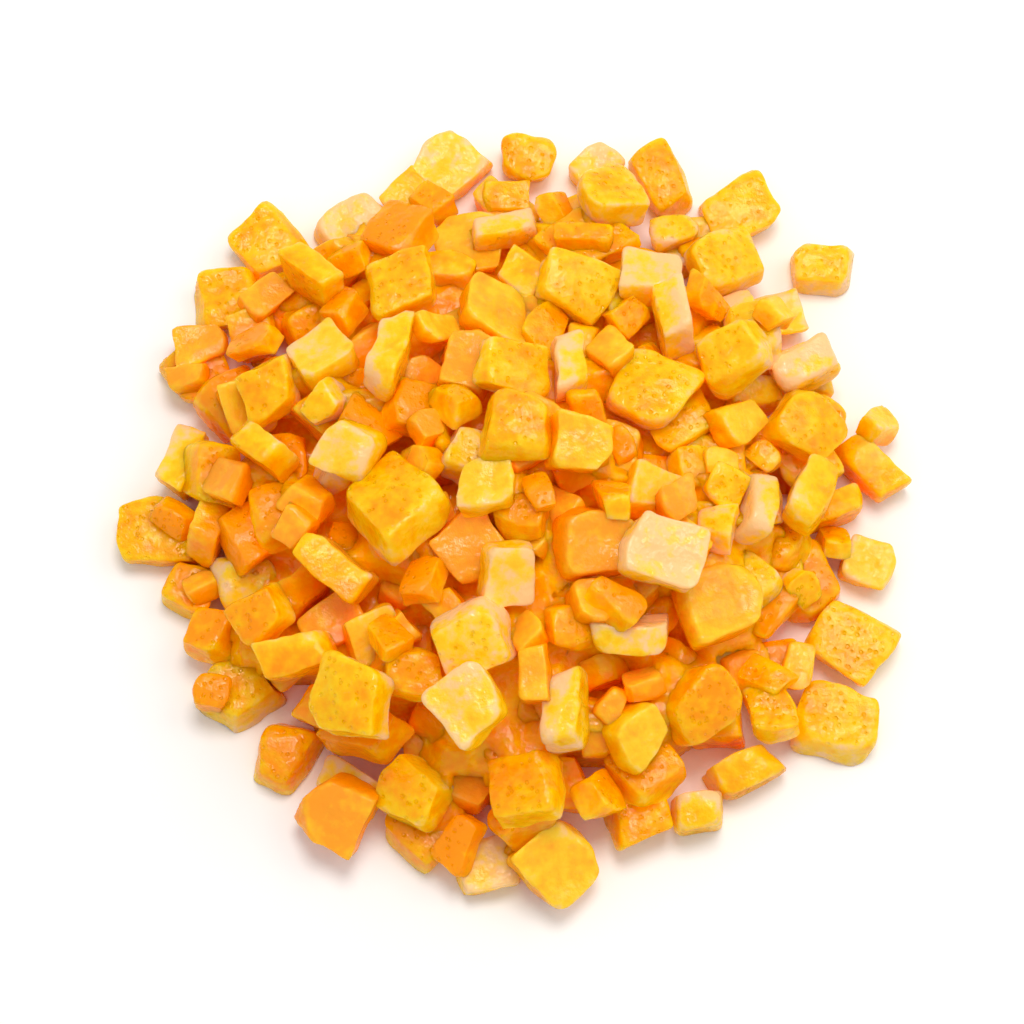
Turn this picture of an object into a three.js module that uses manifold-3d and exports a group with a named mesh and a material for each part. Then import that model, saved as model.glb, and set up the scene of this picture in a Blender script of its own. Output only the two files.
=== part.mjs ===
// A heap of diced candied orange peel, as it lies when a bagful is tipped out on a worktop.
// Each die is a block of syrup-soaked peel, cut about 8 mm square and as thick as the peel. The dice
// lie flat, lean on each other or stand on a cut side, and the syrup on them holds the heap together.
// The heap is one solid: a low mound, and each die that shows, with everything under it filled in
// down to the surface that the heap stands on.
// Units are millimetres, +Z is up, and the origin is on that surface, under the middle of the heap.
import * as THREE from "three";
import { ConvexGeometry } from "three/addons/geometries/ConvexGeometry.js";
import { mergeVertices } from "three/addons/utils/BufferGeometryUtils.js";
import Module from "manifold-3d";

// Driving dimensions.
const CUT = [5.8, 9]; // length and width of a scattered die, across the peel
const PEEL = [3.5, 4.9]; // thickness of the peel
const CORNER_LOSS = 0.14; // most of a side that a corner of the cut falls short by
const ON_EDGE_SHARE = 0.3; // of the scattered dice, how many stand on a cut side
const SCATTER_REACH = 44; // from the middle to the centres of the outermost scattered dice
const SCATTER_SPACING = 7.3; // between the centres of scattered dice
const MOUND = { radius: 38, height: 8.5, rings: 6, sides: 24 }; // packed dice that never show
const SYRUP_FOOT = 0.8; // width of the syrup that has run out round a die's foot and set
const GOLDEN_ANGLE = Math.PI * (3 - Math.sqrt(5));

// How a die comes to rest on those below it.
const BEARING = 0.78; // share of a die's sides that bears, as its soft edges give way
const FEELERS = 8; // points along each bearing side that feel what lies below
const SQUEEZE = 0.9; // how far a soft die sinks onto those that it lies on
const STEEPEST = [0.12, 0.7]; // slope at which a die slides, from a sticky one to a slick one
const FINEST_SLOPE = 0.01; // to which a die settles
const TRIES = 16; // places that a die tries, to lie in the lowest
const PATCH = 6; // width of the patch in which a scattered die tries them
const OWN_PATCH = 2; // and that of a die with a place of its own
const OWN_TWIST = 0.3; // how far round such a die may turn, in radians

// The height map of the heap.
const CELL = 0.5;
const MAP_HALF = 64;
const MAP_SIDE = (2 * MAP_HALF) / CELL;
const SHOWN_CELLS = 8; // a die that shows on fewer cells is left to the mound

const SNAP = 0.01; // corners are rounded to this

// Dice with a place of their own, each [x, y, turn in degrees, length, width, thickness, attitude].
// These stick out of the foot of the heap, all the way round from the right.
const RIM_DICE = [
  [45.8, 3.9, -42, 9.4, 6, 4.6, "edge"],
  [40.3, 11.7, 75, 7.6, 6, 4.4, "flat"],
  [37.9, 19, 20, 7, 6.5, 4.2, "flat"],
  [40.6, 32.7, -3, 7.9, 6.2, 4.2, "flat"],
  [35.5, 26.3, 20, 7.4, 5.6, 4, "flat"],
  [29.8, 40, 24, 9.4, 7.4, 4.4, "flat"],
  [19, 46.4, -58, 10, 6, 5.4, "flat"],
  [11.7, 47.8, 40, 6.5, 6, 3.8, "flat"],
  [1.5, 49.3, 0, 6.8, 6, 4.6, "flat"],
  [-8.4, 48.3, 45, 8, 8, 4.2, "flat"],
  [-20.9, 38.4, 48, 9.4, 9, 4.4, "flat"],
  [-32.7, 37.1, 40, 9, 8, 4.3, "flat"],
  [-37.5, 28.8, 10, 8.4, 7.4, 4, "flat"],
  [-40.9, 18.5, 28, 8.2, 7.6, 4.4, "flat"],
  [-43.8, 5.8, 68, 9, 7, 4.1, "edge"],
  [-46.3, -3.4, 14, 9, 8, 4.2, "flat"],
  [-41.3, -10.2, -20, 6.8, 6.5, 4.2, "flat"],
  [-36, -25.3, 38, 8.4, 8, 4.6, "flat"],
  [-28.2, -34.1, 72, 8.4, 6.8, 4.2, "flat"],
  [-21.4, -36.5, -32, 9.5, 5.6, 4.2, "edge"],
  [-11.7, -43.3, -35, 9.2, 8.4, 4.6, "flat"],
  [-4.1, -47.3, 12, 8, 6.6, 3.8, "flat"],
  [3.9, -46.3, 42, 10, 9.2, 5, "flat"],
  [15.1, -40.4, 15, 7.2, 7, 5.6, "flat"],
  [22.9, -40, 2, 6.8, 6.6, 4.6, "edge"],
  [29.2, -35.6, 32, 8.8, 6, 4.4, "edge"],
  [33.6, -30.2, -75, 7.2, 5.8, 4.4, "flat"],
  [42, -28.3, -8, 9.4, 8.4, 4.4, "flat"],
  [43.9, -18.5, -30, 10, 9, 4.8, "flat"],
  [45.8, -7.6, -28, 7.2, 6, 4, "flat"],
];

// These lie on top, from the back of the heap to the front.
const TOP_DICE = [
  [-1.5, 35.5, 8, 9.4, 4, 3.8, "edge"],
  [-13.5, 33.5, -20, 8, 7, 4.2, "flat"],
  [11.5, 39, 15, 8.8, 8.4, 4.4, "flat"],
  [27, 31, 30, 9.4, 8.6, 4.6, "flat"],
  [16.5, 27.5, -10, 7.6, 7, 4, "flat"],
  [8, 26, -22, 9.8, 7.6, 4.4, "flat"],
  [21, 19.5, -72, 8, 6.4, 3.8, "edge"],
  [-13.3, 25.5, 6, 8.8, 8.2, 4.4, "flat"],
  [-3.4, 21.5, -25, 8.8, 8, 4.3, "flat"],
  [36, 8, -30, 8.8, 7.4, 4.4, "flat"],
  [30, 17, 12, 9, 8, 4.6, "flat"],
  [-26, 27, -48, 8.4, 7, 3.6, "edge"],
  [-30.5, 12, 15, 7.6, 7, 4, "flat"],
  [-24, 14.5, 35, 8, 7.4, 4.1, "flat"],
  [-15.5, 13, 80, 9.8, 6.6, 4.2, "edge"],
  [-30, 3, -38, 8.6, 6.4, 3.8, "edge"],
  [-21, 4, -30, 7.2, 6.6, 4.2, "flat"],
  [6, 13, 86, 8.8, 6.6, 3.8, "edge"],
  [-1.5, 12.5, 4, 9, 7.4, 4.2, "flat"],
  [17.5, 11, -25, 10, 9, 4.6, "flat"],
  [22.5, 3, 10, 6.6, 6.2, 4.2, "flat"],
  [1, 4.5, -4, 8.2, 8, 4.2, "flat"],
  [7.6, 3, -12, 7, 6.6, 4.2, "flat"],
  [36.5, -1.5, 70, 10, 7.4, 4.6, "edge"],
  [28.8, -4, 86, 9.4, 6.4, 3.6, "edge"],
  [16.5, -2.5, -8, 7.6, 6, 4.2, "flat"],
  [-2.2, -4, 12, 6.6, 6.4, 4, "flat"],
  [-13.3, -5, -34, 12, 9.6, 4.8, "flat"],
  [-21, -10, -42, 10, 6.6, 4.4, "edge"],
  [-0.5, -11.5, 84, 8.2, 6.8, 4.4, "flat"],
  [9, -9, -6, 9.6, 8.4, 4.8, "flat"],
  [24.5, -15.5, 18, 10, 9.6, 4.8, "flat"],
  [17.7, -12, -14, 10, 8.2, 3.9, "flat"],
  [-30, -16, 20, 7.6, 6.4, 4.2, "flat"],
  [-25.5, -21.5, 10, 9.4, 6.2, 4.6, "edge"],
  [-17.6, -18.5, 24, 7.6, 7.2, 4.2, "flat"],
  [-4.2, -20.5, 26, 9, 8.6, 4.5, "flat"],
  [6, -18.5, 6, 6.2, 6, 4.2, "flat"],
  [14, -18.5, 4, 9.4, 6, 3.6, "edge"],
  [-12, -24.5, 6, 6.8, 6.2, 4, "flat"],
  [-18.5, -28, -18, 10, 9.4, 4.4, "flat"],
  [-4, -29.5, 40, 8.4, 8, 4.2, "flat"],
  [7.8, -29.5, 82, 10.4, 7, 4.8, "edge"],
  [22, -27, 30, 9.4, 8, 4.6, "flat"],
  [14.6, -31, 52, 7.4, 6.8, 4.2, "flat"],
  [-10.8, -38.5, -36, 8.2, 7.4, 4.4, "flat"],
  [3, -39, 12, 9, 8, 4.6, "flat"],
];

// Repeatable chance, from 0 to 1.
let seed = 4211;
function chance() {
  seed = (seed * 16807) % 2147483647;
  return seed / 2147483647;
}

function between([low, high]) {
  return low + (high - low) * chance();
}

// The packed dice inside the heap make a low dome.
function moundHeight(radius) {
  return Math.max(0, MOUND.height * (1 - (radius / MOUND.radius) ** 2));
}

// The height of the heap so far in each cell of a square grid, and the die that shows there.
const heightMap = new Float64Array(MAP_SIDE * MAP_SIDE).map((_, cell) => {
  const x = middleOfCell(cell % MAP_SIDE);
  const y = middleOfCell(Math.floor(cell / MAP_SIDE));
  return moundHeight(Math.sqrt(x * x + y * y));
});
const topDie = new Int16Array(MAP_SIDE * MAP_SIDE).fill(-1);

function middleOfCell(index) {
  return (index + 0.5) * CELL - MAP_HALF;
}

function cellAt(x) {
  return Math.min(MAP_SIDE - 1, Math.max(0, Math.floor((x + MAP_HALF) / CELL)));
}

// The height that a die feels: it sinks a little onto another, but not into the worktop.
function feltHeight(x, y) {
  return Math.max(0, heightMap[cellAt(y) * MAP_SIDE + cellAt(x)] - SQUEEZE);
}

// A die has its half sizes along the cut, across it and through the peel, and how far each corner of
// the cut falls short. size holds the half sizes as it lies: one on edge has the peel's thickness
// across, and stands as high as its cut is wide.
function makeDie(length, width, thickness, attitude) {
  const half = [length / 2, width / 2, thickness / 2];
  const cornerLoss = [];
  for (let corner = 0; corner < 4; corner++) {
    cornerLoss.push([chance() * CORNER_LOSS, chance() * CORNER_LOSS]);
  }
  const size = attitude === "edge" ? [half[0], half[2], half[1]] : half;
  return { half, cornerLoss, attitude, size, steepest: between(STEEPEST) };
}

// The plane that a die's foot comes to rest on: the lowest at the middle that nothing pokes through.
function restingPlane({ size, steepest }, x, y, turn) {
  const [c, s] = [Math.cos(turn), Math.sin(turn)];
  const felt = [];
  for (let i = 0; i < FEELERS; i++) {
    for (let j = 0; j < FEELERS; j++) {
      const u = ((2 * i) / (FEELERS - 1) - 1) * size[0] * BEARING;
      const v = ((2 * j) / (FEELERS - 1) - 1) * size[1] * BEARING;
      felt.push([u, v, feltHeight(x + c * u - s * v, y + s * u + c * v)]);
    }
  }
  const middle = (p, q) => Math.max(...felt.map(([u, v, h]) => h - p * u - q * v));
  const ways = [[1, 0], [-1, 0], [0, 1], [0, -1], [1, 1], [-1, -1], [1, -1], [-1, 1]];
  let best = { p: 0, q: 0, z: middle(0, 0) };
  for (let step = steepest / 2; step > FINEST_SLOPE; ) {
    let next = best;
    for (const [a, b] of ways) {
      const [p, q] = [best.p + a * step, best.q + b * step];
      if (Math.sqrt(p * p + q * q) > steepest) continue;
      const z = middle(p, q);
      if (z < next.z - 1e-9) next = { p, q, z };
    }
    if (next === best) step /= 2;
    best = next;
  }
  return best;
}

// Calls found(cell, lowest, highest) for each cell that the placed die, or a share of it, covers.
function forCellsUnder(die, share, { centre, axes }, found) {
  const size = [die.size[0] * share, die.size[1] * share, die.size[2]];
  const reach = ["x", "y"].map((k) => axes.reduce((sum, axis, n) => sum + Math.abs(axis[k]) * size[n], 0));
  for (let row = cellAt(centre.y - reach[1]); row <= cellAt(centre.y + reach[1]); row++) {
    for (let column = cellAt(centre.x - reach[0]); column <= cellAt(centre.x + reach[0]); column++) {
      const dx = middleOfCell(column) - centre.x;
      const dy = middleOfCell(row) - centre.y;
      let [low, high] = [-Infinity, Infinity];
      axes.forEach((axis, n) => {
        const rise = Math.max(Math.abs(axis.z), 1e-6);
        const tilt = -(axis.z < 0 ? -1 : 1) * (axis.x * dx + axis.y * dy);
        high = Math.min(high, (tilt + size[n]) / rise);
        low = Math.max(low, (tilt - size[n]) / rise);
      });
      if (high >= low) found(row * MAP_SIDE + column, centre.z + low, centre.z + high);
    }
  }
}

// Where a die comes to rest: its centre, and its axes along, across and up from its foot.
function restingPlace(die, x, y, turn) {
  const { p, q, z } = restingPlane(die, x, y, turn);
  const up = new THREE.Vector3(-p, -q, 1).normalize();
  const along = new THREE.Vector3(1, 0, p).normalize();
  const across = new THREE.Vector3().crossVectors(up, along);
  const spin = new THREE.Matrix4().makeRotationZ(turn);
  const axes = [along, across, up].map((axis) => axis.applyMatrix4(spin));
  const centre = new THREE.Vector3(x, y, z).addScaledVector(axes[2], die.size[2]);
  let pressed = 0;
  forCellsUnder(die, BEARING, { centre, axes }, (cell, low) => {
    pressed = Math.max(pressed, heightMap[cell] - low);
  });
  centre.z += Math.max(0, pressed - 2 * SQUEEZE);
  return { centre, axes };
}

// A die tries several places in a patch about (x, y), and lies in the lowest.
const dice = [];
function drop(die, x, y, patch, turn, twist) {
  let lowest = null;
  for (let attempt = 0; attempt < TRIES; attempt++) {
    const [dx, dy, more] = [chance() - 0.5, chance() - 0.5, chance() - 0.5];
    const place = restingPlace(die, x + patch * dx, y + patch * dy, turn + twist * more);
    if (!lowest || place.centre.z < lowest.centre.z) lowest = place;
  }
  forCellsUnder(die, 1, lowest, (cell, low, high) => {
    if (high <= heightMap[cell]) return;
    heightMap[cell] = high;
    topDie[cell] = dice.length;
  });
  dice.push({ ...die, ...lowest });
}

function setDown([x, y, degrees, length, width, thickness, attitude]) {
  const die = makeDie(length, width, thickness, attitude);
  drop(die, x, y, OWN_PATCH, THREE.MathUtils.degToRad(degrees), OWN_TWIST);
}

// Scattered dice are spread evenly, as seeds are in a sunflower, from the outside in.
function scatter() {
  const count = Math.round(Math.PI * (SCATTER_REACH / SCATTER_SPACING) ** 2);
  for (let n = 0; n < count; n++) {
    const radius = SCATTER_REACH * Math.sqrt((count - n - 0.5) / count);
    const angle = n * GOLDEN_ANGLE;
    const attitude = chance() < ON_EDGE_SHARE ? "edge" : "flat";
    const die = makeDie(between(CUT), between(CUT), between(PEEL), attitude);
    drop(die, radius * Math.cos(angle), radius * Math.sin(angle), PATCH, Math.PI / 2, Math.PI);
  }
}

RIM_DICE.forEach(setDown);
scatter();
TOP_DICE.forEach(setDown);

// The eight corners of a die where it lies.
function cornersOf({ half, cornerLoss, attitude, centre, axes }) {
  const [along, across, through] = attitude === "edge" ? [axes[0], axes[2], axes[1]] : axes;
  const corners = [];
  [[-1, -1], [1, -1], [1, 1], [-1, 1]].forEach(([i, j], corner) => {
    const [u, v] = [i, j].map((side, n) => side * half[n] * (1 - cornerLoss[corner][n]));
    for (const w of [-half[2], half[2]]) {
      const point = centre.clone().addScaledVector(along, u).addScaledVector(across, v);
      corners.push(point.addScaledVector(through, w));
    }
  });
  return corners;
}

// A die and all that is under it, down to the worktop, with syrup round its foot.
function columnOf(die) {
  const rounded = (value) => Math.round(value / SNAP) * SNAP;
  const points = [];
  for (const corner of cornersOf(die)) {
    const [x, y, z] = corner.toArray().map(rounded);
    if (z > 5 * SNAP) points.push(new THREE.Vector3(x, y, z));
    const out = new THREE.Vector2(corner.x - die.centre.x, corner.y - die.centre.y);
    out.setLength(out.length() + SYRUP_FOOT);
    points.push(new THREE.Vector3(rounded(die.centre.x + out.x), rounded(die.centre.y + out.y), 0));
  }
  return new ConvexGeometry(points);
}

function moundGeometry() {
  const profile = [new THREE.Vector2(0, 0)];
  for (let ring = MOUND.rings; ring >= 0; ring--) {
    const radius = (MOUND.radius * ring) / MOUND.rings;
    profile.push(new THREE.Vector2(radius, moundHeight(radius)));
  }
  return new THREE.LatheGeometry(profile, MOUND.sides).rotateX(Math.PI / 2);
}

// Joining, by manifold-3d.
const wasm = await Module();
wasm.setup();

function solidOf(geometry) {
  geometry.deleteAttribute("normal");
  geometry.deleteAttribute("uv");
  const merged = mergeVertices(geometry, SNAP / 10);
  return new wasm.Manifold(
    new wasm.Mesh({
      numProp: 3,
      vertProperties: merged.attributes.position.array,
      triVerts: new Uint32Array(merged.index.array),
    }),
  );
}

function geometryOf(solid) {
  const { vertProperties, triVerts } = solid.getMesh();
  return new THREE.BufferGeometry()
    .setAttribute("position", new THREE.BufferAttribute(vertProperties, 3))
    .setIndex(new THREE.BufferAttribute(triVerts, 1));
}

const cellsShown = dice.map((die, n) => topDie.filter((top) => top === n).length);
const shown = dice.filter((die, n) => cellsShown[n] > SHOWN_CELLS);
const heap = shown.reduce((solid, die) => solid.add(solidOf(columnOf(die))), solidOf(moundGeometry()));

const candiedPeel = new THREE.MeshStandardMaterial({ color: 0xf5a51b, roughness: 0.3, metalness: 0 });
const peelHeap = new THREE.Mesh(geometryOf(heap), candiedPeel);
peelHeap.name = "peel_heap";

const group = new THREE.Group();
group.add(peelHeap);
export default group;
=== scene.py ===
# A heap of diced candied orange peel, as it lies when a bagful is tipped out on a worktop.
# Places in the heap are worked out in millimetres and turned to metres where a mesh is made.
import math
from types import SimpleNamespace

import bpy
import numpy as np
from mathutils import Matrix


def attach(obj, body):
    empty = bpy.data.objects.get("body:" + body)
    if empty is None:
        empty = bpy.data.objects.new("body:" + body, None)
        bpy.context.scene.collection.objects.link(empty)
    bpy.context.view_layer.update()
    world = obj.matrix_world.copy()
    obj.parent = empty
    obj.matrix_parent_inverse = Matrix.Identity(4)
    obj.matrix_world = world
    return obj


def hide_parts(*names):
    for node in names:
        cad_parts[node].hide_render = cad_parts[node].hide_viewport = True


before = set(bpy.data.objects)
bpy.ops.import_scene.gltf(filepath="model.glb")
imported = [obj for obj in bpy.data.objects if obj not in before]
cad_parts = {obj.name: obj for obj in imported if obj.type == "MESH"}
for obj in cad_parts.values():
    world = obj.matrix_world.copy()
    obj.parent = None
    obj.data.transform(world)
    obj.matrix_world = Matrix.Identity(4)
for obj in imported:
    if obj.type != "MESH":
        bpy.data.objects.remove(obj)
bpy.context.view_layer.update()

# ------------------------------------------------------------------------------------------------
# How the dice lie. Peel is cut about 8 mm square, soaked in syrup and drained. A bagful tipped out
# makes a low heap, in which each die lies flat, leans, or stands on a cut side on those below it.
# Each die here falls in its turn, rim first, and settles as the solid heap's dice did.
CUT = (5.8, 9)  # length and width of a scattered die, across the peel
PEEL = (3.5, 4.9)  # thickness of the peel
CORNER_DRAWS = 8  # that the solid heap's dice take for their corners
ON_EDGE_SHARE = 0.3  # of the scattered dice, how many stand on a cut side
SCATTER_REACH = 44  # from the middle to the centres of the outermost scattered dice
SCATTER_SPACING = 7.3
MOUND_RADIUS = 38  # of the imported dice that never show
MOUND_HEIGHT = 8.5
GOLDEN_ANGLE = math.pi * (3 - math.sqrt(5))

BEARING = 0.78  # share of a die's sides that bears, as its soft edges give way
FEELERS = 8  # points along each bearing side that feel what lies below
SQUEEZE = 0.9  # how far a soft die sinks onto those that it lies on
STEEPEST = (0.12, 0.7)  # slope at which a die slides, from a sticky one to a slick one
FINEST_SLOPE = 0.01  # to which a die settles
LEAST_DROP = 1e-9  # that is worth a tilt
LEAST_RISE = 1e-6  # of an axis of a die, so that one which lies dead level can be divided by
TRIES = 16  # places that a die tries, to lie in the lowest
PATCH = 6  # width of the patch in which a scattered die tries them
OWN_PATCH = 2  # and that of a die with a place of its own
OWN_TWIST = 0.3  # how far round such a die may turn, in radians

CELL = 0.5  # of the height map
MAP_HALF = 64
MAP_SIDE = int(2 * MAP_HALF / CELL)
SHOWN_CELLS = 8  # a die that shows on fewer cells is left to the core

# Dice with a place of their own, each (x, y, turn in degrees, length, width, thickness, side up,
# shade). The side up is the zest, the pith or a cut. Shade goes from 0, cream pith, by way of
# yellow at 0.4, to 1, deep orange.
# These stick out of the foot of the heap, all the way round from the right.
RIM_DICE = [
    (45.8, 3.9, -42, 9.4, 6, 4.6, "cut", 0.75),
    (40.3, 11.7, 75, 7.6, 6, 4.4, "zest", 0.6),
    (37.9, 19, 20, 7, 6.5, 4.2, "pith", 0.3),
    (40.6, 32.7, -3, 7.9, 6.2, 4.2, "zest", 0.3),
    (35.5, 26.3, 20, 7.4, 5.6, 4, "pith", 0.3),
    (29.8, 40, 24, 9.4, 7.4, 4.4, "zest", 0.38),
    (19, 46.4, -58, 10, 6, 5.4, "zest", 0.55),
    (11.7, 47.8, 40, 6.5, 6, 3.8, "pith", 0.12),
    (1.5, 49.3, 0, 6.8, 6, 4.6, "zest", 0.55),
    (-8.4, 48.3, 45, 8, 8, 4.2, "pith", 0.3),
    (-20.9, 38.4, 48, 9.4, 9, 4.4, "pith", 0.08),
    (-32.7, 37.1, 40, 9, 8, 4.3, "zest", 0.45),
    (-37.5, 28.8, 10, 8.4, 7.4, 4, "zest", 0.5),
    (-40.9, 18.5, 28, 8.2, 7.6, 4.4, "zest", 0.75),
    (-43.8, 5.8, 68, 9, 7, 4.1, "cut", 0.35),
    (-46.3, -3.4, 14, 9, 8, 4.2, "zest", 0.5),
    (-41.3, -10.2, -20, 6.8, 6.5, 4.2, "zest", 0.7),
    (-36, -25.3, 38, 8.4, 8, 4.6, "zest", 0.42),
    (-28.2, -34.1, 72, 8.4, 6.8, 4.2, "zest", 0.75),
    (-21.4, -36.5, -32, 9.5, 5.6, 4.2, "cut", 0.25),
    (-11.7, -43.3, -35, 9.2, 8.4, 4.6, "zest", 0.75),
    (-4.1, -47.3, 12, 8, 6.6, 3.8, "pith", 0.15),
    (3.9, -46.3, 42, 10, 9.2, 5, "pith", 0.5),
    (15.1, -40.4, 15, 7.2, 7, 5.6, "zest", 0.7),
    (22.9, -40, 2, 6.8, 6.6, 4.6, "cut", 0.25),
    (29.2, -35.6, 32, 8.8, 6, 4.4, "cut", 0.65),
    (33.6, -30.2, -75, 7.2, 5.8, 4.4, "zest", 0.55),
    (42, -28.3, -8, 9.4, 8.4, 4.4, "zest", 0.4),
    (43.9, -18.5, -30, 10, 9, 4.8, "zest", 0.42),
    (45.8, -7.6, -28, 7.2, 6, 4, "pith", 0.3),
]

# These lie on top, from the back of the heap to the front.
TOP_DICE = [
    (-1.5, 35.5, 8, 9.4, 4, 3.8, "cut", 0.12),
    (-13.5, 33.5, -20, 8, 7, 4.2, "zest", 0.9),
    (11.5, 39, 15, 8.8, 8.4, 4.4, "zest", 0.32),
    (27, 31, 30, 9.4, 8.6, 4.6, "zest", 0.36),
    (16.5, 27.5, -10, 7.6, 7, 4, "pith", 0.1),
    (8, 26, -22, 9.8, 7.6, 4.4, "zest", 0.36),
    (21, 19.5, -72, 8, 6.4, 3.8, "cut", 0.2),
    (-13.3, 25.5, 6, 8.8, 8.2, 4.4, "zest", 0.55),
    (-3.4, 21.5, -25, 8.8, 8, 4.3, "pith", 0.65),
    (36, 8, -30, 8.8, 7.4, 4.4, "zest", 0.55),
    (30, 17, 12, 9, 8, 4.6, "zest", 0.4),
    (-26, 27, -48, 8.4, 7, 3.6, "cut", 0.6),
    (-30.5, 12, 15, 7.6, 7, 4, "zest", 0.45),
    (-24, 14.5, 35, 8, 7.4, 4.1, "pith", 0.3),
    (-15.5, 13, 80, 9.8, 6.6, 4.2, "cut", 0.35),
    (-30, 3, -38, 8.6, 6.4, 3.8, "cut", 0.65),
    (-21, 4, -30, 7.2, 6.6, 4.2, "pith", 0.3),
    (6, 13, 86, 8.8, 6.6, 3.8, "cut", 0.2),
    (-1.5, 12.5, 4, 9, 7.4, 4.2, "zest", 0.5),
    (17.5, 11, -25, 10, 9, 4.6, "zest", 0.32),
    (22.5, 3, 10, 6.6, 6.2, 4.2, "zest", 0.4),
    (1, 4.5, -4, 8.2, 8, 4.2, "zest", 0.6),
    (7.6, 3, -12, 7, 6.6, 4.2, "pith", 0.65),
    (36.5, -1.5, 70, 10, 7.4, 4.6, "cut", 0.55),
    (28.8, -4, 86, 9.4, 6.4, 3.6, "cut", 0.15),
    (16.5, -2.5, -8, 7.6, 6, 4.2, "pith", 0.3),
    (-2.2, -4, 12, 6.6, 6.4, 4, "pith", 0.4),
    (-13.3, -5, -34, 12, 9.6, 4.8, "zest", 0.5),
    (-21, -10, -42, 10, 6.6, 4.4, "cut", 0.75),
    (-0.5, -11.5, 84, 8.2, 6.8, 4.4, "pith", 0.12),
    (9, -9, -6, 9.6, 8.4, 4.8, "pith", 1),
    (24.5, -15.5, 18, 10, 9.6, 4.8, "pith", 0.8),
    (17.7, -12, -14, 10, 8.2, 3.9, "pith", 0.06),
    (-30, -16, 20, 7.6, 6.4, 4.2, "zest", 0.7),
    (-25.5, -21.5, 10, 9.4, 6.2, 4.6, "cut", 0.65),
    (-17.6, -18.5, 24, 7.6, 7.2, 4.2, "pith", 0.5),
    (-4.2, -20.5, 26, 9, 8.6, 4.5, "zest", 0.15),
    (6, -18.5, 6, 6.2, 6, 4.2, "zest", 0.7),
    (14, -18.5, 4, 9.4, 6, 3.6, "cut", 0.2),
    (-12, -24.5, 6, 6.8, 6.2, 4, "zest", 0.7),
    (-18.5, -28, -18, 10, 9.4, 4.4, "zest", 0.45),
    (-4, -29.5, 40, 8.4, 8, 4.2, "pith", 0.24),
    (7.8, -29.5, 82, 10.4, 7, 4.8, "cut", 0.2),
    (22, -27, 30, 9.4, 8, 4.6, "zest", 0.75),
    (14.6, -31, 52, 7.4, 6.8, 4.2, "pith", 0.5),
    (-10.8, -38.5, -36, 8.2, 7.4, 4.4, "zest", 0.45),
    (3, -39, 12, 9, 8, 4.6, "zest", 0.7),
]

# Of the scattered dice that lie flat, how many lie zest up, and how their shade runs over the heap.
ZEST_UP_SHARE = 0.55
SHADE_IN_MIDDLE = 0.86
SHADE_TO_RIM = 0.14  # lost from the middle of the heap to its rim
# The drift is partly the peel's own spread of tone and partly painted light: dice towards the back
# right, where the lamps stand, are drawn yellower and lighter.
TONE_AND_PAINTED_LIGHT_DRIFT = 0.0055  # lost for each mm towards the back right, where the heap is yellower
SHADE_SPREAD = 0.14
SCATTERED_SHADE = (0.2, 1)
PALE_SHARE = 0.1  # dice cut from thick white pith
PALE_SHADE = (0.05, 0.25)

# One row of draws lays the dice and is the solid heap's own. The other serves all else.
DRAW_STEP = 16807
DRAW_ROUND = 2147483647
seed = 4211
looks = np.random.default_rng(808)


def chance():
    """The next draw, from 0 to 1, of those that lay the dice."""
    global seed
    seed = (seed * DRAW_STEP) % DRAW_ROUND
    return seed / DRAW_ROUND


def between(low, high):
    return low + (high - low) * chance()


def middle_of_cell(index):
    return (index + 0.5) * CELL - MAP_HALF


def cell_at(x):
    return np.clip(np.floor((x + MAP_HALF) / CELL), 0, MAP_SIDE - 1).astype(int)


def mound_height(radius):
    return np.maximum(0, MOUND_HEIGHT * (1 - (radius / MOUND_RADIUS) ** 2))


middles = middle_of_cell(np.arange(MAP_SIDE))
height_map = mound_height(np.hypot(middles[None, :], middles[:, None]))
top_die = np.full((MAP_SIDE, MAP_SIDE), -1)


def make_die(length, width, thickness, side_up, shade):
    """A die, with half of its sides as cut, and half of its size along, across and up as it lies."""
    for _ in range(CORNER_DRAWS):
        chance()
    half = (length / 2, width / 2, thickness / 2)
    size = (half[0], half[2], half[1]) if side_up == "cut" else half
    steepest = between(*STEEPEST)
    return SimpleNamespace(half=half, size=size, steepest=steepest, side_up=side_up, shade=shade)


def resting_plane(die, x, y, turn):
    """The lowest plane (z, p, q) under a die's foot that nothing pokes through."""
    c, s = math.cos(turn), math.sin(turn)
    side = 2 * np.arange(FEELERS) / (FEELERS - 1) - 1
    u, v = np.meshgrid(side * die.size[0] * BEARING, side * die.size[1] * BEARING, indexing="ij")
    below = height_map[cell_at(y + s * u + c * v), cell_at(x + c * u - s * v)]
    felt = np.maximum(0, below - SQUEEZE)
    ways = np.array([(1, 0), (-1, 0), (0, 1), (0, -1), (1, 1), (-1, -1), (1, -1), (-1, 1)])
    best = (felt.max(), 0.0, 0.0)
    step = die.steepest / 2
    while step > FINEST_SLOPE:
        slopes = np.array(best[1:]) + ways * step
        p, q = slopes[:, 0, None, None], slopes[:, 1, None, None]
        heights = (felt - p * u - q * v).max(axis=(1, 2))
        lowest = best
        for height, (p, q) in zip(heights, slopes):
            if math.sqrt(p * p + q * q) <= die.steepest and height < lowest[0] - LEAST_DROP:
                lowest = (height, p, q)
        if lowest is best:
            step /= 2
        best = lowest
    return best


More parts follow.
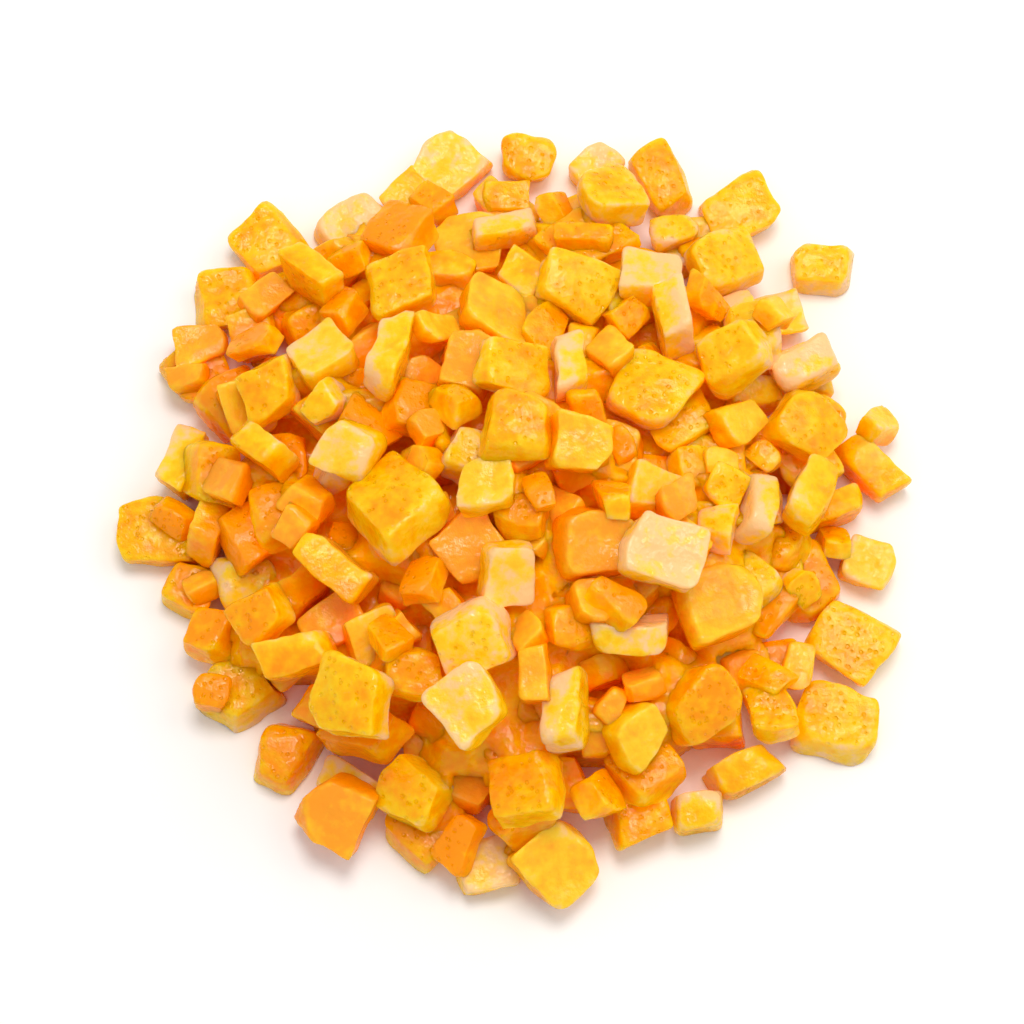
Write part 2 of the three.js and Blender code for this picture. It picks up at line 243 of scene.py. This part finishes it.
def cells_under(die, share, centre, axes):
    """Rows and columns of the cells that a share of a placed die covers, and its foot and top there."""
    size = (die.size[0] * share, die.size[1] * share, die.size[2])
    reach = np.abs(axes).T @ size
    rows = np.arange(cell_at(centre[1] - reach[1]), cell_at(centre[1] + reach[1]) + 1)
    columns = np.arange(cell_at(centre[0] - reach[0]), cell_at(centre[0] + reach[0]) + 1)
    dx = middle_of_cell(columns)[None, :] - centre[0]
    dy = middle_of_cell(rows)[:, None] - centre[1]
    low, high = -np.inf, np.inf
    for axis, half in zip(axes, size):
        rise = max(abs(axis[2]), LEAST_RISE)
        tilt = -(-1 if axis[2] < 0 else 1) * (axis[0] * dx + axis[1] * dy)
        high = np.minimum(high, (tilt + half) / rise)
        low = np.maximum(low, (tilt - half) / rise)
    row, column = np.nonzero(high >= low)
    return rows[row], columns[column], centre[2] + low[row, column], centre[2] + high[row, column]


def resting_place(die, x, y, turn):
    """A die's centre, and its axes along, across and up from its foot, where it comes to rest."""
    z, p, q = resting_plane(die, x, y, turn)
    up = np.array([-p, -q, 1]) / math.sqrt(p * p + q * q + 1)
    along = np.array([1, 0, p]) / math.sqrt(1 + p * p)
    c, s = math.cos(turn), math.sin(turn)
    spin = np.array([[c, -s, 0], [s, c, 0], [0, 0, 1]])
    axes = np.array([along, np.cross(up, along), up]) @ spin.T
    centre = np.array([x, y, z]) + axes[2] * die.size[2]
    rows, columns, low, _ = cells_under(die, BEARING, centre, axes)
    pressed = max(0, (height_map[rows, columns] - low).max())
    centre[2] += max(0, pressed - 2 * SQUEEZE)
    return centre, axes


dice = []


def drop(die, x, y, patch, turn, twist):
    """A die tries several places in a patch about (x, y), and lies in the lowest."""
    places = []
    for _ in range(TRIES):
        dx, dy, more = chance() - 0.5, chance() - 0.5, chance() - 0.5
        places.append(resting_place(die, x + patch * dx, y + patch * dy, turn + twist * more))
    die.centre, die.axes = min(places, key=lambda place: place[0][2])
    rows, columns, _, high = cells_under(die, 1, die.centre, die.axes)
    shows = high > height_map[rows, columns]
    height_map[rows[shows], columns[shows]] = high[shows]
    top_die[rows[shows], columns[shows]] = len(dice)
    dice.append(die)


def set_down(x, y, degrees, length, width, thickness, side_up, shade):
    die = make_die(length, width, thickness, side_up, shade)
    drop(die, x, y, OWN_PATCH, math.radians(degrees), OWN_TWIST)


def scattered_shade(x, y):
    if looks.random() < PALE_SHARE:
        return looks.uniform(*PALE_SHADE)
    rim_share = math.hypot(x, y) / SCATTER_REACH
    # the drift towards the back right is partly painted light, from the lamps on that side
    usual = SHADE_IN_MIDDLE - SHADE_TO_RIM * rim_share - TONE_AND_PAINTED_LIGHT_DRIFT * (x + y)
    return np.clip(looks.normal(usual, SHADE_SPREAD), *SCATTERED_SHADE)


def spread_place(n, share_inside):
    """The nth place of an even spread, as of seeds in a sunflower, with a share of them inside it."""
    radius = SCATTER_REACH * math.sqrt(share_inside)
    return radius * math.cos(n * GOLDEN_ANGLE), radius * math.sin(n * GOLDEN_ANGLE)


for row in RIM_DICE:
    set_down(*row)

# Scattered dice are spread evenly, from the outside in.
scattered = round(math.pi * (SCATTER_REACH / SCATTER_SPACING) ** 2)
for n in range(scattered):
    x, y = spread_place(n, (scattered - n - 0.5) / scattered)
    side_up = "zest" if looks.random() < ZEST_UP_SHARE else "pith"
    if chance() < ON_EDGE_SHARE:
        side_up = "cut"
    die = make_die(between(*CUT), between(*CUT), between(*PEEL), side_up, scattered_shade(x, y))
    drop(die, x, y, PATCH, math.pi / 2, math.pi)

for row in TOP_DICE:
    set_down(*row)

cells_shown = np.bincount(top_die[top_die >= 0], minlength=len(dice))
shown_dice = [die for die, cells in zip(dice, cells_shown) if cells > SHOWN_CELLS]

# ------------------------------------------------------------------------------------------------
# A die of peel. The knife leaves a four-sided block, with its sides aslant and corners gone where two
# cuts met askew. Syrup swells it to a soft gel, which rounds its edges and makes its sides uneven,
# and the zest side keeps the fruit's own roundness.
MM = 0.001
GRID = (23, 23, 11)  # points along the cut, across it and through the peel
EDGE_WIDTH = 0.55  # of the band by each edge in which points lie close together
EDGE_ANGLES = np.radians((15, 30, 45))  # round the edge, at which those points lie
SIDE_TURN = 14  # most degrees that a cut side is out of square, seen from above
SIDE_SLANT = 18  # and out of upright
SIDE_SHORT = 0.1  # most that a cut side falls short, as a share of its distance from the middle
CORNERS_GONE = 0.6  # share of the upright corners that are cut off
CORNER_LEFT = (0.72, 0.9)  # how far out a cut corner still reaches
NICKS = 3  # slanting cuts along edges
NICK_SLANT = (35, 60)
NICK_LEFT = (0.74, 0.94)  # how far out a nicked edge still reaches
SHARPNESS = (9, 24)  # from an edge of 1 mm radius to one of 0.4 mm
CROWN_RADIUS = (18, 60)  # of the zest side, from the fruit's own roundness
SAG = (4.5, 0.18)  # wavelength and height of the slow unevenness of the gel
DIMPLES = (1.8, 0.05)  # and of the fine
WAVES = 6  # that cross to make each of them
THIN_POWER = 12  # the higher, the narrower the edge that counts as thin
FOOT_LIFT = 0.02  # least height over the worktop at the pith side, and none at the zest side
PITH_UP_SHIFT = 0.2  # of the shade, so that it holds for the pith side of a die that lies on its zest


def block(counts):
    """Grid places and outward quads of the surface of a block with counts points along its axes."""
    inside = np.zeros(counts, bool)
    inside[1:-1, 1:-1, 1:-1] = True
    ids = np.full(counts, -1)
    ids[~inside] = np.arange((~inside).sum())
    quads = []
    for axis in range(3):
        for end in (0, -1):
            sheet = ids.take(end, axis)
            corners = [sheet[:-1, :-1], sheet[1:, :-1], sheet[1:, 1:], sheet[:-1, 1:]]
            faces = np.stack(corners, axis=-1).reshape(-1, 4)
            quads.append(faces if (end == -1) == (axis != 1) else faces[:, ::-1])
    return np.argwhere(~inside), np.concatenate(quads)


def spread_block(half, counts):
    """Points over a block, closer together by its edges, and its quads."""
    places, quads = block(counts)
    points = []
    for size, count, place in zip(half, counts, places.T):
        band = EDGE_WIDTH * np.tan(EDGE_ANGLES)
        stops = np.linspace(EDGE_WIDTH - size, size - EDGE_WIDTH, count - 2 * len(band))
        points.append(np.concatenate([stops[0] - band[::-1], stops, stops[-1] + band])[place])
    return np.array(points).T, quads


def way_out(turn, slant):
    turn, slant = math.radians(turn), math.radians(slant)
    return (math.cos(turn) * math.cos(slant), math.sin(turn) * math.cos(slant), math.sin(slant))


def flat_sides(half):
    """Ways out of the flat sides that the knife left, top and foot first, and how far out each is."""
    ways = [(0, 0, 1), (0, 0, -1)]
    reach = [half[2], half[2]]
    for quarter in range(4):
        turn, slant = looks.uniform(-SIDE_TURN, SIDE_TURN), looks.uniform(-SIDE_SLANT, SIDE_SLANT)
        ways.append(way_out(90 * quarter + turn, slant))
        reach.append(half[quarter % 2] * (1 - looks.uniform(0, SIDE_SHORT)))
        if looks.random() < CORNERS_GONE:
            ways.append(way_out(90 * quarter + 45 + 2 * turn, slant))
            reach.append(np.abs(ways[-1]) @ half * looks.uniform(*CORNER_LEFT))
    for _ in range(NICKS):
        slant = looks.uniform(*NICK_SLANT) * looks.choice((-1, 1))
        ways.append(way_out(looks.uniform(0, 360), slant))
        reach.append(np.abs(ways[-1]) @ half * looks.uniform(*NICK_LEFT))
    return np.array(ways), np.array(reach)


def ripple(points, wavelength):
    """A smooth uneven field over points, from about -1 to 1."""
    waves = looks.normal(size=(WAVES, 3))
    waves *= 2 * math.pi / (wavelength * np.linalg.norm(waves, axis=1, keepdims=True))
    starts = looks.uniform(0, 2 * math.pi, WAVES)
    return np.sin(points @ waves.T + starts).sum(axis=1) / (WAVES / 2)


def die_mesh(die, counts=GRID):
    """Points in the heap, quads, and at each point its shade, depth, zest and thinness."""
    half = np.array(die.half)
    points, quads = spread_block(half, counts)
    ways, reach = flat_sides(half)

    # Each point goes out to the nearest flat side, more gently where two meet.
    sharpness = looks.uniform(*SHARPNESS)
    nearness = np.maximum(0, points @ ways.T / reach)
    points /= ((nearness ** sharpness).sum(axis=1) ** (1 / sharpness))[:, None]
    nearness = np.maximum(0, points @ ways.T / reach)
    pull = nearness ** (sharpness - 1)
    out = (pull / reach) @ ways
    out /= np.linalg.norm(out, axis=1, keepdims=True)
    zest_end = -1 if die.side_up == "pith" else 1
    zest = pull[:, 0 if zest_end == 1 else 1] / pull.sum(axis=1)
    depth = (1 - zest_end * points[:, 2] / half[2]) / 2
    share = nearness ** THIN_POWER
    thin = 1 - share.max(axis=1) / share.sum(axis=1)

    uneven = SAG[1] * ripple(points, SAG[0]) + DIMPLES[1] * ripple(points, DIMPLES[0])
    points += out * uneven[:, None]
    crown = (points[:, :2] ** 2).sum(axis=1) / (2 * looks.uniform(*CROWN_RADIUS))
    points[:, 2] -= zest_end * (crown - crown.max() / 2)

    axes = die.axes[[0, 2, 1]] * ((1,), (1,), (-1,)) if die.side_up == "cut" else die.axes
    points = die.centre + points @ axes
    points[:, 2] = np.maximum(points[:, 2], FOOT_LIFT * depth)
    shade = np.full(len(points), die.shade + (PITH_UP_SHIFT if die.side_up == "pith" else 0))
    return points, quads, {"shade": shade, "depth": depth, "zest": zest, "thin": thin}


def joined_piece(name, made, material):
    """One object of many small meshes, each (points, quads, attributes)."""
    counts = np.cumsum([0] + [len(points) for points, _, _ in made])
    faces = np.concatenate([quads + start for start, (_, quads, _) in zip(counts, made)])
    mesh = bpy.data.meshes.new(name)
    mesh.from_pydata(np.concatenate([points for points, _, _ in made]) * MM, [], faces.tolist())
    for key in made[0][2]:
        values = np.concatenate([attributes[key] for _, _, attributes in made])
        mesh.attributes.new(key, "FLOAT", "POINT").data.foreach_set("value", values)
    mesh.shade_smooth()
    mesh.materials.append(material)
    piece = bpy.data.objects.new(name, mesh)
    bpy.context.scene.collection.objects.link(piece)
    return piece


# ------------------------------------------------------------------------------------------------
# What the dice are made of: orange peel boiled in sugar syrup until it is soaked through, and drained
# but still moist. The zest is deep orange, the flesh of the peel yellow and the pith cream, and the
# dice are sorted here into five pieces.
SHADE_COLOURS = [
    (0.0, "#f6c98c"),
    (0.14, "#facc5a"),
    (0.3, "#fccc1c"),
    (0.45, "#fcc404"),
    (0.6, "#fcb800"),
    (0.8, "#fca800"),
    (1.0, "#fc9800"),
]
PIT_COLOUR = "#d88400"
PITH_COLOUR = "#facc5a"
SYRUP_IOR = 1.47
CLOUDS = (5, 1.0)  # how far apart the cloudy patches are, in mm, and how much they shift the shade
FLECKS = (1.4, 1.1)  # the same of the small flecks
SHADE_SHIFT = -0.87  # takes off what clouds and flecks add on the whole
DEPTH_SHIFT = -0.4  # of the shade, from the zest to the pith
# painted glow: a thin edge is drawn paler and yellower, as if light were shining through the gel there
PAINTED_EDGE_GLOW = -0.45  # of the shade, at a thin edge
NOISE_DETAIL = 3
FLECK_DETAIL = 4
PITH_FROM = 0.6  # share of the peel's thickness below which white pith shows
PITH_SHARE = 0.15  # of it in the colour, at the foot
PIT_SPACING = 1.1
PIT_SIZE = (0.14, 0.3)  # from the rim of a pit's floor to its brim, as a share of their spacing
PIT_SHARE = 0.15  # of the pit colour in the colour of a pit
PIT_DEPTH = -2  # as a share of the grain's height
GRAIN_SPACING = 0.9
GRAIN_HEIGHT = 0.24
GEL_ROUGHNESS = (0.16, 0.4)
GLOW_SHARE = 0.9  # of the light, that soaks in
GLOW_REACH = 4.5
GLOW_COLOURS = (1, 0.55, 0.2)  # how far red, green and blue go, as a share of the reach
GLAZE = 0.65  # share of the gel that the syrup covers
GLAZE_ROUGHNESS = 0.1


def linear(hex_colour):
    """sRGB hex to linear red, green, blue and alpha."""
    values = [int(hex_colour[i:i + 2], 16) / 255 for i in (1, 3, 5)]
    return [v / 12.92 if v <= 0.04045 else ((v + 0.055) / 1.055) ** 2.4 for v in values] + [1]


def add(tree, kind, links=None, **settings):
    """A node of a kind, with its inputs linked, and its properties and inputs (_1 is input 1) set."""
    node = tree.nodes.new(kind)
    for key, value in settings.items():
        if key in node.bl_rna.properties:
            setattr(node, key, value)
        else:
            key = int(key[1:]) if key[0] == "_" else key.replace("_", " ")
            node.inputs[key].default_value = value
    for key, source in (links or {}).items():
        tree.links.new(source, node.inputs[key])
    return node


# Candied peel, glazed with its own syrup. It is a soft gel that light soaks into and warms, so that no
# side of it is ever quite dark. The syrup gives its uneven sides small broken glints, and the zest
# keeps its oil pits, as dark specks.
candied_peel = bpy.data.materials.new("glazed_candied_peel")
candied_peel.use_nodes = True
tree = candied_peel.node_tree
tree.nodes.clear()
place = add(tree, "ShaderNodeTexCoord").outputs["Object"]
shade, depth, zest, thin = [
    add(tree, "ShaderNodeAttribute", attribute_name=key).outputs["Fac"]
    for key in ("shade", "depth", "zest", "thin")
]
clouds = add(tree, "ShaderNodeTexNoise", {"Vector": place}, Scale=1 / (CLOUDS[0] * MM),
             Detail=NOISE_DETAIL).outputs["Fac"]
flecks = add(tree, "ShaderNodeTexNoise", {"Vector": place}, Scale=1 / (FLECKS[0] * MM),
             Detail=FLECK_DETAIL).outputs["Fac"]
start = add(tree, "ShaderNodeMath", {0: shade}, operation="ADD", _1=SHADE_SHIFT).outputs[0]
cloudy = add(tree, "ShaderNodeMath", {0: clouds, 2: start}, operation="MULTIPLY_ADD",
             _1=CLOUDS[1]).outputs[0]
flecked = add(tree, "ShaderNodeMath", {0: flecks, 2: cloudy}, operation="MULTIPLY_ADD",
              _1=FLECKS[1]).outputs[0]
deeper = add(tree, "ShaderNodeMath", {0: depth, 2: flecked}, operation="MULTIPLY_ADD",
             _1=DEPTH_SHIFT).outputs[0]
# painted glow: thin edges are shifted paler, standing in for light that shines through them
total = add(tree, "ShaderNodeMath", {0: thin, 2: deeper}, operation="MULTIPLY_ADD",
            _1=PAINTED_EDGE_GLOW).outputs[0]
ramp = add(tree, "ShaderNodeValToRGB", {"Fac": total})
while len(ramp.color_ramp.elements) < len(SHADE_COLOURS):
    ramp.color_ramp.elements.new(0.5)
for element, (position, colour) in zip(ramp.color_ramp.elements, SHADE_COLOURS):
    element.position = position
    element.color = linear(colour)
pithy = add(tree, "ShaderNodeMapRange", {"Value": depth}, interpolation_type="SMOOTHSTEP",
            From_Min=PITH_FROM, To_Max=PITH_SHARE).outputs[0]
paler = add(tree, "ShaderNodeMix", {0: pithy, 6: ramp.outputs[0]}, data_type="RGBA",
            _7=linear(PITH_COLOUR)).outputs[2]

pits = add(tree, "ShaderNodeTexVoronoi", {"Vector": place},
           Scale=1 / (PIT_SPACING * MM)).outputs["Distance"]
pitted = add(tree, "ShaderNodeMapRange", {"Value": pits}, interpolation_type="SMOOTHSTEP",
             From_Min=PIT_SIZE[1], From_Max=PIT_SIZE[0]).outputs[0]
pit = add(tree, "ShaderNodeMath", {0: pitted, 1: zest}, operation="MULTIPLY").outputs[0]
faint = add(tree, "ShaderNodeMath", {0: pit}, operation="MULTIPLY", _1=PIT_SHARE).outputs[0]
colour = add(tree, "ShaderNodeMix", {0: faint, 6: paler}, data_type="RGBA",
             _7=linear(PIT_COLOUR)).outputs[2]

grain = add(tree, "ShaderNodeTexNoise", {"Vector": place}, Scale=1 / (GRAIN_SPACING * MM),
            Detail=NOISE_DETAIL).outputs["Fac"]
relief = add(tree, "ShaderNodeMath", {0: pit, 2: grain}, operation="MULTIPLY_ADD",
             _1=PIT_DEPTH).outputs[0]
bump = add(tree, "ShaderNodeBump", {"Height": relief}, Distance=GRAIN_HEIGHT * MM, Strength=1).outputs[0]
rough = add(tree, "ShaderNodeMapRange", {"Value": clouds}, To_Min=GEL_ROUGHNESS[0],
            To_Max=GEL_ROUGHNESS[1]).outputs[0]
gel = add(tree, "ShaderNodeBsdfPrincipled",
          {"Base Color": colour, "Roughness": rough, "Normal": bump, "Coat Normal": bump},
          subsurface_method="BURLEY", IOR=SYRUP_IOR, Specular_IOR_Level=0,
          Subsurface_Weight=GLOW_SHARE, Subsurface_Scale=GLOW_REACH * MM, Subsurface_Radius=GLOW_COLOURS,
          Coat_Weight=GLAZE, Coat_Roughness=GLAZE_ROUGHNESS, Coat_IOR=SYRUP_IOR)
add(tree, "ShaderNodeOutputMaterial", {"Surface": gel.outputs[0]})

# The dice go by how they lie and how deep their shade is, so that no piece grows too large.
PALE_LIMIT = 0.26
YELLOW_LIMIT = 0.56
kinds = {
    "pale_dice": lambda die: die.shade < PALE_LIMIT,
    "dice_on_edge": lambda die: die.side_up == "cut",
    "dice_pith_up": lambda die: die.side_up == "pith",
    "yellow_dice_zest_up": lambda die: die.shade < YELLOW_LIMIT,
    "orange_dice_zest_up": lambda die: True,
}
left = list(shown_dice)
for name, is_kind in kinds.items():
    chosen = [die for die in left if is_kind(die)]
    left = [die for die in left if not is_kind(die)]
    piece = joined_piece(name, [die_mesh(die) for die in chosen], candied_peel)
    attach(piece, "root")
    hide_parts("peel_heap")

# ------------------------------------------------------------------------------------------------
# Trimmings. Dicing leaves narrow offcuts and corners of the same peel, which work their way down
# between the dice and stick there. Those that would lie on top are left out.
TRIMMINGS = 80  # that are tried
TRIMMING_LENGTH = (4.2, 7.4)
TRIMMING_WIDTH = (3, 5.2)
TRIMMING_THICK = (2.4, 4)
TRIMMING_PATCH = 9
TRIMMING_TRIES = 20
TRIMMING_STEEPEST = 1.2
TRIMMING_SINK = 0.8  # how far one is pushed down between soft dice
TRIMMING_LOWER = 1.2  # least that one lies under the dice around it
AROUND = 8  # in cells, how far round it that is looked for
TRIMMING_GRID = (15, 13, 11)
trimmings = []
for n in range(TRIMMINGS):
    x, y = spread_place(n, (n + 0.5) / TRIMMINGS)
    sides = (TRIMMING_LENGTH, TRIMMING_WIDTH, TRIMMING_THICK)
    half = np.array([looks.uniform(*side) / 2 for side in sides])
    side_up = looks.choice(("zest", "pith"))
    bit = SimpleNamespace(half=half, size=half, steepest=TRIMMING_STEEPEST, side_up=side_up,
                          shade=scattered_shade(x, y))
    places = []
    for _ in range(TRIMMING_TRIES):
        dx, dy = looks.uniform(-0.5, 0.5, 2) * TRIMMING_PATCH
        places.append(resting_place(bit, x + dx, y + dy, looks.uniform(0, math.pi)))
    bit.centre, bit.axes = min(places, key=lambda place: place[0][2])
    bit.centre[2] -= TRIMMING_SINK
    rows, columns, _, high = cells_under(bit, 1, bit.centre, bit.axes)
    row, column = cell_at(bit.centre[1]), cell_at(bit.centre[0])
    near = height_map[row - AROUND:row + AROUND + 1, column - AROUND:column + AROUND + 1]
    if high.max() < near.max() - TRIMMING_LOWER:
        height_map[rows, columns] = np.maximum(height_map[rows, columns], high)
        trimmings.append(bit)
piece = joined_piece("trimmings", [die_mesh(bit, TRIMMING_GRID) for bit in trimmings], candied_peel)
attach(piece, "root")
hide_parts("peel_heap")

# ------------------------------------------------------------------------------------------------
# The core of the heap: dice packed together by their syrup, which fill it to just under those that
# show, with a web of set syrup in the narrowest gaps. Only the tops of them are seen, deep orange,
# down between the dice.
CORE_REACH = 5  # in cells, within which the core stays under the lowest top
CORE_SMOOTHING = 3  # in cells
CORE_UNDER = 1  # how far the core stays under it
CORE_TAPER = 1.2  # height over which the core tapers off to the worktop at its rim
RIM_LEVEL = 0.01  # square of the slope under which the rim is too level to tell its outline from
GAP_REACH = 3  # in cells, half the width of the gaps that set syrup fills
FILL_UNDER = 3.4  # how far under the dice on each side of a gap
FILL_MOST = 2  # that the fill rises over the lowest top
CORE_TOPS = 400
CORE_TOP_HALF = 3.4  # half the width of one
CORE_TOP_EDGE = 1.2  # width of its rounded edge
CORE_TOP_RISE = (0.3, 1.6)
CORE_TOP_SLOPE = (-0.25, 0.25)
CORE_SHADE = 0.6
CORE_DEPTH = 0.1  # in the peel, from the zest, of what its tops are made of


def over_window(field, cells, take):
    """What take makes, at each cell, of the field within some cells of it."""
    padded = np.pad(field, cells, mode="edge")
    windows = np.lib.stride_tricks.sliding_window_view(padded, (2 * cells + 1,) * 2)
    return take(windows, axis=(2, 3))


grid_x, grid_y = np.meshgrid(middles, middles)
tops = np.zeros_like(grid_x)
for n in range(CORE_TOPS):
    x, y = spread_place(n, (n + 0.5) / CORE_TOPS)
    turn = looks.uniform(0, math.pi)
    u = (grid_x - x) * math.cos(turn) + (grid_y - y) * math.sin(turn)
    v = (grid_y - y) * math.cos(turn) - (grid_x - x) * math.sin(turn)
    rise = looks.uniform(*CORE_TOP_RISE)
    top = rise + u * looks.uniform(*CORE_TOP_SLOPE) + v * looks.uniform(*CORE_TOP_SLOPE)
    to_edge = CORE_TOP_HALF - np.maximum(np.abs(u), np.abs(v))
    tops = np.maximum(tops, top * np.sqrt(np.clip(to_edge / CORE_TOP_EDGE, 0, 1)))
foot = over_window(over_window(height_map, CORE_REACH, np.min), CORE_SMOOTHING, np.mean)
filled = over_window(over_window(height_map, GAP_REACH, np.max), GAP_REACH, np.min)
low = np.maximum(foot - CORE_UNDER, np.minimum(filled - FILL_UNDER, foot + FILL_MOST))
inside = foot - CORE_UNDER
core_height = np.clip(inside / CORE_TAPER, 0, 1) * (low + tops)

# The points just outside the core move in to its outline, which would else be a staircase of cells.
slope_y, slope_x = np.gradient(inside, CELL)
outward = np.minimum(inside, 0) / np.maximum(slope_x ** 2 + slope_y ** 2, RIM_LEVEL)
core_x = grid_x - np.clip(outward * slope_x, -CELL, CELL)
core_y = grid_y - np.clip(outward * slope_y, -CELL, CELL)
core_points = np.stack([core_x, core_y, core_height], axis=-1).reshape(-1, 3)
ids = np.arange(core_height.size).reshape(core_height.shape)
corners = [ids[:-1, :-1], ids[:-1, 1:], ids[1:, 1:], ids[1:, :-1]]
core_quads = np.stack(corners, axis=-1).reshape(-1, 4)
core_quads = core_quads[(core_height.reshape(-1)[core_quads] > 0).any(axis=1)]
used, core_quads = np.unique(core_quads, return_inverse=True)
core_points, core_quads = core_points[used], core_quads.reshape(-1, 4)

# Its flat underside shares the points of its outline.
raised = core_points[:, 2] > 0
under_ids = np.where(raised, len(core_points) + np.cumsum(raised) - 1, np.arange(len(core_points)))
core_quads = np.concatenate([core_quads, under_ids[core_quads[:, ::-1]]])
core_points = np.concatenate([core_points, core_points[raised] * (1, 1, 0)])
core_looks = {"shade": CORE_SHADE, "depth": CORE_DEPTH, "zest": 0, "thin": 0}
core_looks = {key: np.full(len(core_points), float(value)) for key, value in core_looks.items()}
core = joined_piece("heap_core", [(core_points, core_quads, core_looks)], candied_peel)
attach(core, "root")
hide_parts("peel_heap")

# ------------------------------------------------------------------------------------------------
# The studio: a plain white worktop in a bright room, under two soft disc lights, one from the right
# that gives the dice their darker sides, and one overhead, set just behind the heap so that the
# level tops of moist dice mirror it.
FLOOR_HALF = 1.5
FLOOR_COLOUR = "#fefefe"
FLOOR_ROUGHNESS = 0.7
floor_mesh = bpy.data.meshes.new("worktop")
floor_mesh.from_pydata([(-FLOOR_HALF, -FLOOR_HALF, 0), (FLOOR_HALF, -FLOOR_HALF, 0),
                        (FLOOR_HALF, FLOOR_HALF, 0), (-FLOOR_HALF, FLOOR_HALF, 0)], [], [(0, 1, 2, 3)])
floor = bpy.data.objects.new("worktop", floor_mesh)
bpy.context.scene.collection.objects.link(floor)
# White melamine board with a matt finish: it mirrors nothing, and only soft shadows show on it.
paint = bpy.data.materials.new("matt_white_board")
paint.use_nodes = True
board = paint.node_tree.nodes["Principled BSDF"]
board.inputs["Base Color"].default_value = linear(FLOOR_COLOUR)
board.inputs["Roughness"].default_value = FLOOR_ROUGHNESS
floor_mesh.materials.append(paint)

KEY_PLACE = (0.48, 0.2, 0.6)
KEY_SIZE = 0.45
KEY_POWER = 1
TOP_PLACE = (0.05, 0.21, 0.76)
TOP_SIZE = 0.34
TOP_POWER = 2.9
LAMP_COLOUR = "#fffaf2"
ROOM_COLOUR = "#fdfcff"
ROOM_LIGHT = 0.6


def face(thing, target):
    """Turns a light or camera to look at a point."""
    away = np.array(thing.location) - target
    from_upright = math.acos(away[2] / np.linalg.norm(away))
    thing.rotation_euler = (from_upright, 0, math.atan2(away[1], away[0]) + math.pi / 2)


def disc_light(name, place, size, power):
    lamp = bpy.data.objects.new(name, bpy.data.lights.new(name, "AREA"))
    lamp.data.shape = "DISK"
    lamp.data.size = size
    lamp.data.energy = power
    lamp.data.color = linear(LAMP_COLOUR)[:3]
    lamp.location = place
    bpy.context.scene.collection.objects.link(lamp)
    face(lamp, (0, 0, 0))


disc_light("key_light", KEY_PLACE, KEY_SIZE, KEY_POWER)
disc_light("top_light", TOP_PLACE, TOP_SIZE, TOP_POWER)

room = bpy.data.worlds.new("bright_room")
room.use_nodes = True
room.node_tree.nodes["Background"].inputs["Color"].default_value = linear(ROOM_COLOUR)
room.node_tree.nodes["Background"].inputs["Strength"].default_value = ROOM_LIGHT
bpy.context.scene.world = room
bpy.context.scene.view_settings.view_transform = "Standard"

# Light is passed on many times between bright dice before the gaps are as bright as they should be.
bpy.context.scene.cycles.diffuse_bounces = 12
bpy.context.scene.cycles.max_bounces = 14

# The camera looks down on the heap from the front, almost from overhead.
CAMERA_ELEVATION = math.radians(74)
CAMERA_DISTANCE = 0.42
VIEW_WIDTH = 0.132  # of the view, at the heap
SENSOR = 36
VIEW_MIDDLE = np.array([0, -0.0022, 0.007])
camera = bpy.data.objects.new("camera", bpy.data.cameras.new("camera"))
camera.data.sensor_width = SENSOR
camera.data.lens = SENSOR * CAMERA_DISTANCE / VIEW_WIDTH
way_back = np.array([0, -math.cos(CAMERA_ELEVATION), math.sin(CAMERA_ELEVATION)])
camera.location = VIEW_MIDDLE + CAMERA_DISTANCE * way_back
bpy.context.scene.collection.objects.link(camera)
face(camera, VIEW_MIDDLE)
bpy.context.scene.camera = camera
